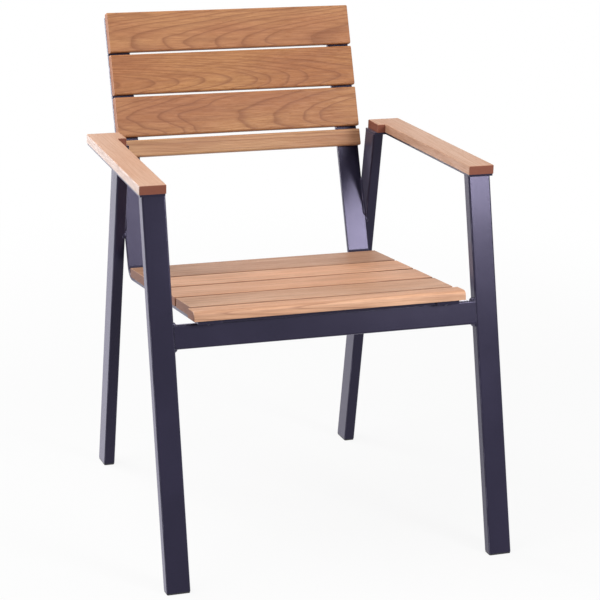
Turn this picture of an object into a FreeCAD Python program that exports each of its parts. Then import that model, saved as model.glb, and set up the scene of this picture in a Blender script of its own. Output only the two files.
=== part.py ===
import FreeCAD, Part
import math
import os
import Sketcher

# Garden armchair: a welded metal frame of leaning tube legs, a front stretcher and two bent flat
# bars that are seat rail and back post in one, with wooden seat slats, back slats and armrests
# screwed to it. The chair faces -Y, +X is at the right of someone who looks at its front, and the
# origin is on the floor under its middle. Lengths are in millimetres, angles in degrees.

SIZES = {
    # legs and stretcher, all of one 40 x 20 tube
    "front_leg_width": 40.0,
    "front_leg_depth": 20.0,
    "rear_leg_width": 20.0,
    "rear_leg_depth": 40.0,
    "stretcher_height": 40.0,
    "tube_wall": 2.0,
    "tube_corner_radius": 3.0,
    # places of the feet and the lean of the legs
    "front_span": 608.0,
    "rear_inset": 56.0,
    "front_foot_y": -334.4,
    "rear_foot_y": 253.6,
    "front_lean_angle": 14.5,
    "rear_lean_angle": 8.3,
    # glides in the open ends of the legs
    "glide_height": 3.0,
    "glide_inset": 0.5,
    "plug_height": 16.0,
    "plug_clearance": 0.2,
    # bent flat bars: the inner corner of seat and back, the slopes from it, the runs each way
    "corner_y": 160.8,
    "corner_z": 391.6,
    "seat_slope_angle": 5.2,
    "recline_angle": 21.3,
    "rail_width": 40.0,
    "rail_thickness": 7.0,
    "rail_bend_radius": 22.0,
    "rail_edge_radius": 1.2,
    "rail_setback": 7.0,
    "post_setback": 6.0,
    "cross_bar_width": 40.0,
    "cross_bar_setback": 5.0,
    # slats
    "slat_thickness": 16.0,
    "back_slat_edge_radius": 3.5,
    "seat_slat_edge_radius": 1.0,
    "slat_end_radius": 0.8,
    "seat_slat_overhang": 3.0,
    "seat_front_slat_overhang": 9.0,
    "seat_slat_start": 17.0,
    "seat_slat_gap": 7.5,
    "seat_rear_slat_width": 97.5,
    "seat_slat_width": 77.0,
    "seat_front_slat_width": 35.5,
    "seat_front_edge_radius": 8.0,
    "back_slat_start": 207.0,
    "back_low_gap": 6.0,
    "back_slat_gap": 4.5,
    "back_low_slat_width": 30.0,
    "back_slat_width": 71.4,
    # armrests on their plates
    "arm_top_height": 639.5,
    "armrest_thickness": 15.0,
    "armrest_width": 45.5,
    "armrest_edge_radius": 2.0,
    "arm_side_overhang": 5.0,
    "arm_overhang": 3.0,
    "arm_tab_setback": 6.0,
    "arm_plate_thickness": 4.0,
    "arm_plate_inset": 1.5,
    # one screw for slats and armrests
    "screw_length": 16.0,
    "screw_diameter": 5.0,
    "screw_clearance": 0.15,
    "screw_head_diameter": 9.0,
    "screw_head_height": 2.6,
    "screw_head_radius": 1.2,
    "screw_socket_diameter": 3.2,
    "screw_socket_depth": 1.4,
    "screw_edge_distance": 18.0,
    # weld beads
    "bead_size": 5.0,
    "bead_end_gap": 2.0,
}
# places of the armrest's screws along it, from its front end to its rear end
ARM_SCREW_SHARES = (0.2, 0.5, 0.8)
HEXAGON_SIDES = 6
LEFT = -1
RIGHT = 1
SIDES = {"left": LEFT, "right": RIGHT}

Vector = FreeCAD.Vector
doc = FreeCAD.newDocument("garden_armchair")
sheet = doc.addObject("Spreadsheet::Sheet", "Sizes")
for row, (alias, value) in enumerate(SIZES.items(), start=1):
    sheet.set(f"A{row}", alias)
    sheet.set(f"B{row}", str(value))
    sheet.setAlias(f"B{row}", alias)
doc.recompute()

# slopes and derived places, as expressions on the sheet
TAN_FRONT = "tan(Sizes.front_lean_angle * 1deg)"
COS_FRONT = "cos(Sizes.front_lean_angle * 1deg)"
TAN_REAR = "tan(Sizes.rear_lean_angle * 1deg)"
COS_REAR = "cos(Sizes.rear_lean_angle * 1deg)"
SIN_SEAT = "sin(Sizes.seat_slope_angle * 1deg)"
COS_SEAT = "cos(Sizes.seat_slope_angle * 1deg)"
TAN_SEAT = "tan(Sizes.seat_slope_angle * 1deg)"
SIN_BACK = "sin(Sizes.recline_angle * 1deg)"
COS_BACK = "cos(Sizes.recline_angle * 1deg)"
SEAT_TURN = "-Sizes.seat_slope_angle * 1deg"
BACK_TURN = "90deg - Sizes.recline_angle * 1deg"
FRONT_TURN = "-Sizes.front_lean_angle * 1deg"
ARM_UNDERSIDE = "(Sizes.arm_top_height - Sizes.armrest_thickness)"
LEG_TOP = f"({ARM_UNDERSIDE} - Sizes.arm_plate_thickness)"
LEG_HEIGHT = f"({LEG_TOP} - Sizes.glide_height)"
FRONT_OUTER_X = "(Sizes.front_span / 2)"
REAR_OUTER_X = f"({FRONT_OUTER_X} - Sizes.rear_inset)"
REAR_INNER_X = f"({REAR_OUTER_X} - Sizes.rear_leg_width)"
RAIL_INNER_X = f"({REAR_INNER_X} - Sizes.rail_width)"
SEAT_SLAT_LENGTH = f"(2 * ({REAR_INNER_X} + Sizes.seat_slat_overhang))"
FRONT_SLAT_LENGTH = f"(2 * ({REAR_INNER_X} + Sizes.seat_front_slat_overhang))"
SEAT_WIDE_RUN = "(3 * Sizes.seat_slat_width + Sizes.seat_rear_slat_width + 4 * Sizes.seat_slat_gap)"
SEAT_RUN = f"(Sizes.seat_slat_start + {SEAT_WIDE_RUN} + Sizes.seat_front_slat_width)"
RAIL_RUN = f"({SEAT_RUN} - Sizes.rail_setback)"
BACK_LOW_RUN = "(Sizes.back_slat_start + Sizes.back_low_slat_width + Sizes.back_low_gap)"
BACK_RUN = f"({BACK_LOW_RUN} + 3 * Sizes.back_slat_width + 2 * Sizes.back_slat_gap)"
POST_RUN = f"({BACK_RUN} - Sizes.post_setback)"
CROSS_BAR_NEAR = f"({RAIL_RUN} - Sizes.cross_bar_setback - Sizes.cross_bar_width)"
STRETCHER_LENGTH = "(Sizes.front_span - 2 * Sizes.front_leg_width)"
ARM_FRONT_Y = f"(Sizes.front_foot_y + {LEG_HEIGHT} * {TAN_FRONT} - Sizes.arm_overhang)"
REAR_LEG_TOP_Y = f"(Sizes.rear_foot_y - {LEG_HEIGHT} * {TAN_REAR})"
ARM_TAB_Y = f"({REAR_LEG_TOP_Y} - Sizes.arm_overhang)"
ARM_REAR_Y = f"({REAR_LEG_TOP_Y} + Sizes.rear_leg_depth / {COS_REAR} + Sizes.arm_overhang)"
ARM_LENGTH = f"({ARM_REAR_Y} - {ARM_FRONT_Y})"
ARM_FRONT_OUTER_X = f"({FRONT_OUTER_X} + Sizes.arm_side_overhang)"
ARM_REAR_OUTER_X = f"({REAR_OUTER_X} + Sizes.armrest_width)"
ARM_TAPER = f"({ARM_FRONT_OUTER_X} - {ARM_REAR_OUTER_X})"


def size(name):
    """A driving dimension, read back from the sheet."""
    return float(sheet.get(name))


def new_body(label):
    """An empty body that carries the node's name."""
    body = doc.addObject("PartDesign::Body", label)
    body.Label = label
    return body


def place(body, x, y, z, turn="0deg"):
    """Puts a body's origin at a point and turns it about the X axis."""
    rule = f"placement(vector({x}; {y}; {z}); rotation(vector(1; 0; 0); {turn}))"
    body.setExpression("Placement", rule)


def new_sketch(body, role, lift=None, turn=None):
    """A sketch on one of the body's own origin planes, lifted off it or turned about X if asked."""
    sketch = body.newObject("Sketcher::SketchObject", f"{body.Name}_sketch")
    plane = next(item for item in body.Origin.OriginFeatures if item.Role == role)
    sketch.AttachmentSupport = (plane, [""])
    sketch.MapMode = "FlatFace"
    if lift:
        sketch.setExpression("AttachmentOffset.Base.z", lift)
    if turn:
        rule = f"placement(vector(0; 0; 0); rotation(vector(1; 0; 0); {turn}))"
        sketch.setExpression("AttachmentOffset", rule)
    return sketch


def fix_point(sketch, index, point, at, corner):
    """Ties a point of the sketch to a pair of expressions."""
    for axis, start, rule in zip("XY", at, corner):
        kind = f"Distance{axis}"
        number = sketch.addConstraint(Sketcher.Constraint(kind, -1, 1, index, point, start))
        sketch.setExpression(f"Constraints[{number}]", rule)


def draw_loops(sketch, *loops):
    """Draws closed polygons; each corner is a pair of expressions."""
    for corners in loops:
        first = sketch.GeometryCount
        count = len(corners)
        turns = [2 * math.pi * number / count for number in range(count)]
        ring = [Vector(math.cos(turn), math.sin(turn), 0) for turn in turns]
        for number in range(count):
            line = Part.LineSegment(ring[number], ring[(number + 1) % count])
            sketch.addGeometry(line, False)
        for number, corner in enumerate(corners):
            after = first + (number + 1) % count
            sketch.addConstraint(Sketcher.Constraint("Coincident", first + number, 2, after, 1))
            fix_point(sketch, first + number, 1, ring[number], corner)


def draw_circles(sketch, centres, radius):
    """Draws circles of one radius; each centre is a pair of expressions."""
    for number, centre in enumerate(centres):
        start = Vector(number, number, 0)
        circle = sketch.addGeometry(Part.Circle(start, Vector(0, 0, 1), 1), False)
        fix_point(sketch, circle, 3, start, centre)
        rule = sketch.addConstraint(Sketcher.Constraint("Radius", circle, 1))
        sketch.setExpression(f"Constraints[{rule}]", radius)


def pad(body, sketch, length, slope=None):
    """Pads a sketch, along its normal or leaning in Y by a slope."""
    feature = body.newObject("PartDesign::Pad", f"{body.Name}_pad")
    feature.Profile = sketch
    if slope:
        feature.UseCustomVector = True
        feature.AlongSketchNormal = True
        feature.Direction = Vector(0, 0, 1)
        feature.setExpression("Direction.y", slope)
    feature.setExpression("Length", length)
    doc.recompute()
    return feature


def ease(body, base, radius, wanted):
    """Rounds the edges of a feature that a test picks."""
    edges = enumerate(base.Shape.Edges, start=1)
    names = [f"Edge{number}" for number, edge in edges if wanted(edge)]
    feature = body.newObject("PartDesign::Fillet", f"{body.Name}_fillet")
    feature.Base = (base, names)
    feature.setExpression("Radius", radius)
    doc.recompute()
    return feature


def drill(body, sketch, depth, upward=False):
    """Cuts the holes of a sketch, against its normal or along it."""
    before = body.Shape.Volume
    feature = body.newObject("PartDesign::Pocket", f"{body.Name}_holes")
    feature.Profile = sketch
    feature.Reversed = upward
    feature.setExpression("Length", depth)
    doc.recompute()
    assert body.Shape.Volume < before, f"{body.Label}: the holes cut nothing"
    return feature


def runs_along(edge, direction):
    """Whether an edge is straight and parallel to a direction."""
    straight = isinstance(edge.Curve, Part.Line)
    return straight and edge.Curve.Direction.cross(direction).Length < Part.Precision.angular() * 1e4


def rectangle(x_low, x_high, y_low, y_high):
    """Corners of a rectangle, as pairs of expressions."""
    return [(x_low, y_low), (x_high, y_low), (x_high, y_high), (x_low, y_high)]


def leg(kind, side_name, side, outer_x, slope, cosine):
    """A leaning tube with level ends; its section is cut level too."""
    body = new_body(f"{kind}_leg_{side_name}")
    width = f"Sizes.{kind}_leg_width"
    depth = f"Sizes.{kind}_leg_depth / {cosine}"
    wall = "Sizes.tube_wall"
    level_wall = f"{wall} / {cosine}"
    outer = rectangle("0", f"{-side} * {width}", "0", depth)
    across = (f"{-side} * {wall}", f"{-side} * ({width} - {wall})")
    bore = rectangle(*across, level_wall, f"{depth} - {level_wall}")
    section = new_sketch(body, "XY_Plane")
    draw_loops(section, outer, bore)
    tube = pad(body, section, LEG_HEIGHT, slope)
    middle = -side * size(f"{kind}_leg_width") / 2
    reach = size(f"{kind}_leg_width") / 2 - size("tube_wall") / 2
    axis = Vector(0, tube.Direction.y, 1).normalize()

    def is_corner(edge):
        return runs_along(edge, axis) and abs(edge.CenterOfMass.x - middle) > reach

    ease(body, tube, "Sizes.tube_corner_radius", is_corner)
    place(body, f"{side} * {outer_x}", f"Sizes.{kind}_foot_y", "Sizes.glide_height")
    return body


def foot_glide(kind, side_name, side, outer_x, slope, cosine):
    """A flat foot of the leg's outline, with a plug that fits the leg's bore."""
    body = new_body(f"foot_glide_{kind}_{side_name}")
    width = f"Sizes.{kind}_leg_width"
    depth = f"Sizes.{kind}_leg_depth / {cosine}"
    rim = "Sizes.glide_inset"
    inset = "(Sizes.tube_wall + Sizes.plug_clearance)"
    flange = new_sketch(body, "XY_Plane")
    draw_loops(flange, rectangle(f"{-side} * {rim}", f"{-side} * ({width} - {rim})", rim, f"{depth} - {rim}"))
    pad(body, flange, "Sizes.glide_height")
    plug = new_sketch(body, "XY_Plane", lift="Sizes.glide_height")
    level = f"{inset} / {cosine}"
    across = (f"{-side} * {inset}", f"{-side} * ({width} - {inset})")
    draw_loops(plug, rectangle(*across, level, f"{depth} - {level}"))
    pad(body, plug, "Sizes.plug_height", slope)
    place(body, f"{side} * {outer_x}", f"Sizes.{kind}_foot_y", "0")
    return body


def front_stretcher():
    """The tube between the front legs, flush with them, its top front edge under the seat rails."""
    body = new_body("front_stretcher")
    depth = "Sizes.front_leg_depth"
    height = "Sizes.stretcher_height"
    wall = "Sizes.tube_wall"
    outer = rectangle("0", depth, f"-{height}", "0")
    bore = rectangle(wall, f"{depth} - {wall}", f"-{height} + {wall}", f"-{wall}")
    section = new_sketch(body, "YZ_Plane")
    draw_loops(section, outer, bore)
    tube = pad(body, section, STRETCHER_LENGTH)
    middle = size("front_leg_depth") / 2
    reach = middle - size("tube_wall") / 2

    def is_corner(edge):
        return runs_along(edge, Vector(1, 0, 0)) and abs(edge.CenterOfMass.y - middle) > reach

    ease(body, tube, "Sizes.tube_corner_radius", is_corner)
    drop = f"Sizes.corner_z - Sizes.rail_thickness / {COS_SEAT}"
    run = f"(Sizes.corner_y - Sizes.front_foot_y + Sizes.glide_height * {TAN_FRONT})"
    top = f"(({drop} + {run} * {TAN_SEAT}) / (1 + {TAN_SEAT} * {TAN_FRONT}))"
    front = f"Sizes.front_foot_y + ({top} - Sizes.glide_height) * {TAN_FRONT}"
    place(body, f"-{STRETCHER_LENGTH} / 2", front, top, FRONT_TURN)
    return body


def seat_back_rail(side_name, side, seat_rows, back_rows):
    """A flat bar bent once: seat rail forward of the corner, back post above it."""
    body = new_body(f"seat_back_rail_{side_name}")
    thick = "Sizes.rail_thickness"
    run = RAIL_RUN
    rise = POST_RUN
    meet = "(1 + sin((Sizes.recline_angle - Sizes.seat_slope_angle) * 1deg))"
    corners = [
        ("0", "0"),
        (f"-{run} * {COS_SEAT}", f"{run} * {SIN_SEAT}"),
        (f"-{run} * {COS_SEAT} - {thick} * {SIN_SEAT}", f"{run} * {SIN_SEAT} - {thick} * {COS_SEAT}"),
        (f"{thick} * ({COS_BACK} - {SIN_SEAT}) / {meet}", f"-{thick} * ({COS_SEAT} + {SIN_BACK}) / {meet}"),
        (f"{rise} * {SIN_BACK} + {thick} * {COS_BACK}", f"{rise} * {COS_BACK} - {thick} * {SIN_BACK}"),
        (f"{rise} * {SIN_BACK}", f"{rise} * {COS_BACK}"),
    ]
    profile = new_sketch(body, "YZ_Plane")
    draw_loops(profile, corners)
    bar = pad(body, profile, "Sizes.rail_width")
    inner, outer = profile.Geometry[0].StartPoint, profile.Geometry[3].StartPoint

    def is_at(edge, point):
        """Whether an edge runs across the bar through a corner of its profile."""
        middle = edge.CenterOfMass
        near = Vector(middle.y, middle.z, 0).sub(point).Length < size("rail_edge_radius")
        return near and runs_along(edge, Vector(1, 0, 0))

    bend = ease(body, bar, "Sizes.rail_bend_radius", lambda edge: is_at(edge, inner))
    bend = ease(body, bend, f"Sizes.rail_bend_radius + {thick}", lambda edge: is_at(edge, outer))
    half = size("rail_width") / 2

    def is_rim(edge):
        spread = edge.BoundBox.XLength
        return spread < size("rail_edge_radius") and abs(edge.CenterOfMass.x - half) > half / 2

    ease(body, bend, "Sizes.rail_edge_radius", is_rim)
    radius = "(Sizes.screw_diameter / 2 + Sizes.screw_clearance)"
    sketches = []
    for turn, rows in ((SEAT_TURN, seat_rows), (BACK_TURN, back_rows)):
        holes = new_sketch(body, "XY_Plane", turn=turn)
        draw_circles(holes, [("Sizes.rail_width / 2", row) for row in rows], radius)
        drill(body, holes, thick)
        sketches.append(holes)
    inner_x = RAIL_INNER_X if side == RIGHT else f"-{REAR_INNER_X}"
    place(body, inner_x, "Sizes.corner_y", "Sizes.corner_z")
    return body, sketches


def seat_cross_bar():
    """The flat bar between the front ends of the two seat rails, above the stretcher."""
    body = new_body("seat_cross_bar")
    section = new_sketch(body, "YZ_Plane")
    near = f"-{CROSS_BAR_NEAR}"
    draw_loops(section, rectangle(f"{near} - Sizes.cross_bar_width", near, "-Sizes.rail_thickness", "0"))
    bar = pad(body, section, f"2 * {RAIL_INNER_X}")
    ease(body, bar, "Sizes.rail_edge_radius", lambda edge: runs_along(edge, Vector(1, 0, 0)))
    place(body, f"-{RAIL_INNER_X}", "Sizes.corner_y", "Sizes.corner_z", SEAT_TURN)
    return body


def slat(label, length, low, high, rows, turn, edge_radius, front_radius=None):
    """A wooden slat between two distances from the corner, eased all round, with pilot holes."""
    body = new_body(label)
    section = new_sketch(body, "YZ_Plane")
    draw_loops(section, rectangle(low, high, "0", "Sizes.slat_thickness"))
    board = pad(body, section, length)
    front = min(vertex.Y for vertex in board.Shape.Vertexes)

    def is_front(edge):
        """Whether an edge is the upper front one, which can have a radius of its own."""
        centre = edge.CenterOfMass
        upper = centre.z > size("slat_thickness") / 2
        return runs_along(edge, Vector(1, 0, 0)) and upper and centre.y < front + size("slat_end_radius")

    def is_long(edge):
        return runs_along(edge, Vector(1, 0, 0))

    if front_radius:
        board = ease(body, board, edge_radius, lambda edge: is_long(edge) and not is_front(edge))
        board = ease(body, board, front_radius, is_front)
    else:
        board = ease(body, board, edge_radius, is_long)
    middle = board.Shape.BoundBox.Center.x
    ease(body, board, "Sizes.slat_end_radius", lambda edge: edge.BoundBox.XLength < middle / 2)
    holes = new_sketch(body, "XY_Plane")
    across = f"({length} / 2 - {RAIL_INNER_X} - Sizes.rail_width / 2)"
    centres = [(x, row) for row in rows for x in (across, f"{length} - {across}")]
    draw_circles(holes, centres, "(Sizes.screw_diameter / 2 + Sizes.screw_clearance)")
    depth = "Sizes.screw_length - Sizes.rail_thickness + Sizes.screw_clearance"
    drill(body, holes, depth, upward=True)
    place(body, f"-({length}) / 2", "Sizes.corner_y", "Sizes.corner_z", turn)
    return body


def slat_rows(low, high, narrow):
    """Where the screws cross a slat: one row in a narrow slat, two in a wide one."""
    if narrow:
        return [f"({low} + {high}) / 2"]
    return [f"{low} + Sizes.screw_edge_distance", f"{high} - Sizes.screw_edge_distance"]


def arm_outline(side, inset, tab_setback="0"):
    """Corners of an armrest seen from above: a tapering run with a tab over the rear leg."""
    inner_front = f"({ARM_FRONT_OUTER_X} - Sizes.armrest_width)"
    notch = f"({inner_front} - {ARM_TAPER} * ({ARM_TAB_Y} - {ARM_FRONT_Y}) / {ARM_LENGTH})"
    tab_x = f"({REAR_INNER_X} + {tab_setback})"
    corners = [
        (f"{ARM_FRONT_OUTER_X} - {inset}", f"{ARM_FRONT_Y} + {inset}"),
        (f"{ARM_REAR_OUTER_X} - {inset}", f"{ARM_REAR_Y} - {inset}"),
        (f"{tab_x} + {inset}", f"{ARM_REAR_Y} - {inset}"),
        (f"{tab_x} + {inset}", f"{ARM_TAB_Y} + {inset}"),
        (f"{notch} + {inset}", f"{ARM_TAB_Y} + {inset}"),
        (f"{inner_front} + {inset}", f"{ARM_FRONT_Y} + {inset}"),
    ]
    return [(f"{side} * ({x})", y) for x, y in corners]


def arm_screw_centres(side):
    """Screws along the middle line of an armrest."""
    centres = []
    for share in ARM_SCREW_SHARES:
        x = f"{side} * ({ARM_FRONT_OUTER_X} - Sizes.armrest_width / 2 - {ARM_TAPER} * {share})"
        centres.append((x, f"{ARM_FRONT_Y} + {ARM_LENGTH} * {share}"))
    return centres


def arm_plate(side_name, side):
    """The metal plate on top of two legs that carries an armrest."""
    body = new_body(f"arm_plate_{side_name}")
    face = new_sketch(body, "XY_Plane")
    draw_loops(face, arm_outline(side, "Sizes.arm_plate_inset"))
    pad(body, face, "Sizes.arm_plate_thickness")
    holes = new_sketch(body, "XY_Plane")
    draw_circles(holes, arm_screw_centres(side), "(Sizes.screw_diameter / 2 + Sizes.screw_clearance)")
    drill(body, holes, "Sizes.arm_plate_thickness", upward=True)
    place(body, "0", "0", LEG_TOP)
    return body, holes


def armrest(side_name, side):
    """The wooden armrest board."""
    body = new_body(f"armrest_{side_name}")
    face = new_sketch(body, "XY_Plane")
    draw_loops(face, arm_outline(side, "0", "Sizes.arm_tab_setback"))
    board = pad(body, face, "Sizes.armrest_thickness")
    board = ease(body, board, "Sizes.armrest_edge_radius", lambda edge: runs_along(edge, Vector(0, 0, 1)))
    top = size("armrest_thickness")
    ease(body, board, "Sizes.armrest_edge_radius", lambda edge: edge.BoundBox.ZMin > top / 2)
    holes = new_sketch(body, "XY_Plane")
    draw_circles(holes, arm_screw_centres(side), "(Sizes.screw_diameter / 2 + Sizes.screw_clearance)")
    depth = "Sizes.screw_length - Sizes.arm_plate_thickness + Sizes.screw_clearance"
    drill(body, holes, depth, upward=True)
    place(body, "0", "0", ARM_UNDERSIDE)
    return body


def screw():
    """A round-headed screw with a hexagon socket; its head is below z = 0, its shank above."""
    head_radius = size("screw_head_diameter") / 2
    height = size("screw_head_height")
    head = Part.makeCylinder(head_radius, height, Vector(0, 0, -height))
    rim = [edge for edge in head.Edges if edge.BoundBox.ZMax < -height / 2]
    head = head.makeFillet(size("screw_head_radius"), rim)
    turns = [2 * math.pi * number / HEXAGON_SIDES for number in range(HEXAGON_SIDES + 1)]
    reach = size("screw_socket_diameter") / 2
    corners = [Vector(reach * math.cos(turn), reach * math.sin(turn), -height) for turn in turns]
    socket = Part.Face(Part.makePolygon(corners)).extrude(Vector(0, 0, size("screw_socket_depth")))
    shank = Part.makeCylinder(size("screw_diameter") / 2, size("screw_length"))
    return head.cut(socket).fuse(shank).removeSplitter()


def screw_group(label, sketches, lift):
    """One screw in each hole of the given sketches, its head against the metal."""
    pattern = screw()
    solids = []
    for sketch in sketches:
        frame = sketch.getGlobalPlacement()
        for circle in sketch.Geometry:
            spot = FreeCAD.Placement(circle.Center + Vector(0, 0, lift), FreeCAD.Rotation())
            solid = pattern.copy()
            solid.Placement = frame.multiply(spot)
            solids.append(solid)
    group = doc.addObject("Part::Feature", label)
    group.Label = label
    group.Shape = Part.Compound(solids)
    return group


def prism(corners, along):
    """A straight solid on a polygon."""
    return Part.Face(Part.makePolygon([*corners, corners[0]])).extrude(along)


def post_meets_leg(face_offset, leg_offset):
    """How far up the post one of its faces crosses one face of the rear leg."""
    lean = math.tan(math.radians(size("rear_lean_angle")))
    sine = math.sin(math.radians(size("recline_angle")))
    cosine = math.cos(math.radians(size("recline_angle")))
    across = size("rear_foot_y") + leg_offset - size("corner_y") - face_offset * cosine
    above = size("corner_z") - face_offset * sine - size("glide_height")
    return (across - above * lean) / (sine + cosine * lean)


def weld_beads(stretcher, back_piece):
    """Fillet welds: stretcher to front legs above and below, posts to rear legs before and behind."""
    bead = size("bead_size")
    gap = size("bead_end_gap")
    solids = []
    depth = size("front_leg_depth") - 2 * gap
    length = size("front_span") - 2 * size("front_leg_width")
    for end, inward in ((0, 1), (length, -1)):
        for level, outward in ((0, 1), (-size("stretcher_height"), -1)):
            corner = Vector(end, gap, level)
            corners = [corner, corner + Vector(inward * bead, 0, 0), corner + Vector(0, 0, outward * bead)]
            solid = prism(corners, Vector(0, depth, 0))
            solid.Placement = stretcher.Placement
            solids.append(solid)
    frame = FreeCAD.Placement(Vector(0, size("corner_y"), size("corner_z")), back_piece.Placement.Rotation)
    leg_depth = size("rear_leg_depth") / math.cos(math.radians(size("rear_lean_angle")))
    outer = size("front_span") / 2 - size("rear_inset") - size("rear_leg_width")
    for side in SIDES.values():
        for face, outward in ((0, 1), (size("rail_thickness"), -1)):
            low = post_meets_leg(face, 0) + bead
            high = post_meets_leg(face, leg_depth) - bead
            corner = Vector(side * outer, low, -face)
            corners = [corner, corner - Vector(side * bead, 0, 0), corner + Vector(0, 0, outward * bead)]
            solid = prism(corners, Vector(0, high - low, 0))
            solid.Placement = frame
            solids.append(solid)
    group = doc.addObject("Part::Feature", "weld_beads")
    group.Label = "weld_beads"
    group.Shape = Part.Compound(solids)
    return group


nodes = []
STANDS = {"front": (FRONT_OUTER_X, TAN_FRONT, COS_FRONT), "rear": (REAR_OUTER_X, f"-{TAN_REAR}", COS_REAR)}
for kind, stand in STANDS.items():
    for side_name, side in SIDES.items():
        nodes.append(leg(kind, side_name, side, *stand))
        nodes.append(foot_glide(kind, side_name, side, *stand))
stretcher = front_stretcher()
nodes.append(stretcher)

# seat slats count from the rear to the front, back slats from the top to the bottom
seat_widths = ["seat_rear_slat_width", "seat_slat_width", "seat_slat_width", "seat_slat_width"]
seat_widths.append("seat_front_slat_width")
seat_rows = []
near = "Sizes.seat_slat_start"
for number, width in enumerate(seat_widths, start=1):
    far = f"{near} + Sizes.{width}"
    is_last = number == len(seat_widths)
    rows = slat_rows(f"-({far})", f"-({near})", is_last)
    radius = "Sizes.seat_front_edge_radius" if is_last else None
    length = FRONT_SLAT_LENGTH if is_last else SEAT_SLAT_LENGTH
    span = (f"-({far})", f"-({near})")
    eased = "Sizes.seat_slat_edge_radius"
    nodes.append(slat(f"seat_slat_{number}", length, *span, rows, SEAT_TURN, eased, radius))
    seat_rows.extend(rows)
    near = f"{far} + Sizes.seat_slat_gap"

back_gaps = ["back_low_gap", "back_slat_gap", "back_slat_gap", "back_slat_gap"]
back_widths = ["back_low_slat_width", "back_slat_width", "back_slat_width", "back_slat_width"]
back_rows = []
low = "Sizes.back_slat_start"
for number, (width, gap) in enumerate(zip(back_widths, back_gaps)):
    high = f"{low} + Sizes.{width}"
    rows = slat_rows(low, high, number == 0)
    label = f"back_slat_{len(back_widths) - number}"
    back_slat = slat(label, f"2 * {REAR_INNER_X}", low, high, rows, BACK_TURN, "Sizes.back_slat_edge_radius")
    nodes.append(back_slat)
    back_rows.extend(rows)
    low = f"{high} + Sizes.{gap}"

seat_holes = []
back_holes = []
arm_holes = []
for side_name, side in SIDES.items():
    rail, (seat_sketch, back_sketch) = seat_back_rail(side_name, side, seat_rows, back_rows)
    seat_holes.append(seat_sketch)
    back_holes.append(back_sketch)
    plate, plate_sketch = arm_plate(side_name, side)
    arm_holes.append(plate_sketch)
    nodes.extend([rail, plate, armrest(side_name, side)])
nodes.append(seat_cross_bar())
doc.recompute()

nodes.append(screw_group("seat_slat_screws", seat_holes, -size("rail_thickness")))
nodes.append(screw_group("back_slat_screws", back_holes, -size("rail_thickness")))
nodes.append(screw_group("armrest_screws", arm_holes, 0))
nodes.append(weld_beads(stretcher, back_slat))
doc.recompute()

for item in doc.Objects:
    assert not {"Invalid", "Error"} & set(item.State), f"{item.Label} failed: {item.State}"
os.makedirs("parts", exist_ok=True)
for node in nodes:
    shape = node.Shape
    assert not shape.isNull() and shape.isValid(), f"{node.Label} has no valid shape"
for node in nodes:
    node.Shape.exportStep(f"parts/{node.Label}.step")
    print(node.Label, len(node.Shape.Solids), round(node.Shape.Volume))
whole = Part.Compound([node.Shape for node in nodes]).BoundBox
print("from", [round(value, 1) for value in (whole.XMin, whole.YMin, whole.ZMin)])
print("to", [round(value, 1) for value in (whole.XMax, whole.YMax, whole.ZMax)])
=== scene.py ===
"""Looks of the garden armchair: oiled wooden slats and armrests on a powder-coated tube frame.

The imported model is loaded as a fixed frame. Slats, screws and weld beads are grown with Geometry Nodes, and
foot glides are lofted from outlines; each stands in for its plain CAD node. Every other node keeps its shape
and gets a finish.
"""

import logging
import math
from collections.abc import Iterator, Sequence
from dataclasses import dataclass
from enum import Enum

import bmesh
import bpy
from mathutils import Matrix, Vector


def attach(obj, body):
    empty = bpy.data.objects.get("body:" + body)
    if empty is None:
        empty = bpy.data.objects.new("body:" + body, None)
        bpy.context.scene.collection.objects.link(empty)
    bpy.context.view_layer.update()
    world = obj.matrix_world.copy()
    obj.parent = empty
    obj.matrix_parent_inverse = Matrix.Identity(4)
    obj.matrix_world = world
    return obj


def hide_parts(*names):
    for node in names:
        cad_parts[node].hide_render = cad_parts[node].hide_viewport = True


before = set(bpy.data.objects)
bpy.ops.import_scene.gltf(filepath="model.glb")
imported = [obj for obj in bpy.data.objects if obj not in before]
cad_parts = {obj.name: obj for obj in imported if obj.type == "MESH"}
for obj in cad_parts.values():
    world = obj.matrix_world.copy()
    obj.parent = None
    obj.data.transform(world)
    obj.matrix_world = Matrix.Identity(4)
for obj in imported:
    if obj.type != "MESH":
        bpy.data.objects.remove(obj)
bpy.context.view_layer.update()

LOG = logging.getLogger("garden_armchair")
BODY = "root"
# In degrees: the legs from upright, the slat rows from level.
FRONT_LEG_LEAN = 14.5
REAR_LEG_LEAN = -8.3
SEAT_TILT = -5.2
BACK_TILT = 68.7
UP = Vector((0.0, 0.0, 1.0))
ZERO = (0.0, 0.0, 0.0)
WHITE = (1.0, 1.0, 1.0)

Node = bpy.types.Node
Socket = bpy.types.NodeSocket
Piece = bpy.types.Object
Pair = tuple[float, float]
Triple = tuple[float, float, float]
Colour = Triple
Wire = Socket | Node | bpy.types.Material | Sequence | float | str | None
Inputs = dict[str, Wire]


def srgb(red: int, green: int, blue: int) -> Colour:
    """Turn a display colour into the linear one that shaders take.

    Args:
        red: Red, from 0 to 255.
        green: Green, from 0 to 255.
        blue: Blue, from 0 to 255.

    Returns:
        The linear colour.
    """
    shares = [value / 255.0 for value in (red, green, blue)]
    return tuple(s / 12.92 if s <= 0.04045 else ((s + 0.055) / 1.055) ** 2.4 for s in shares)


def add_object(name: str, data: bpy.types.ID) -> Piece:
    """Make an object of some data, at the origin of the scene.

    Args:
        name: The object's name.
        data: Its mesh, lamp or camera.

    Returns:
        The object.
    """
    made = bpy.data.objects.new(name, data)
    bpy.context.scene.collection.objects.link(made)
    return made


class GrainSource(Enum):
    """Where a wood finish takes its grain coordinates from."""

    BOARD = "board"
    OBJECT = "object"


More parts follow.
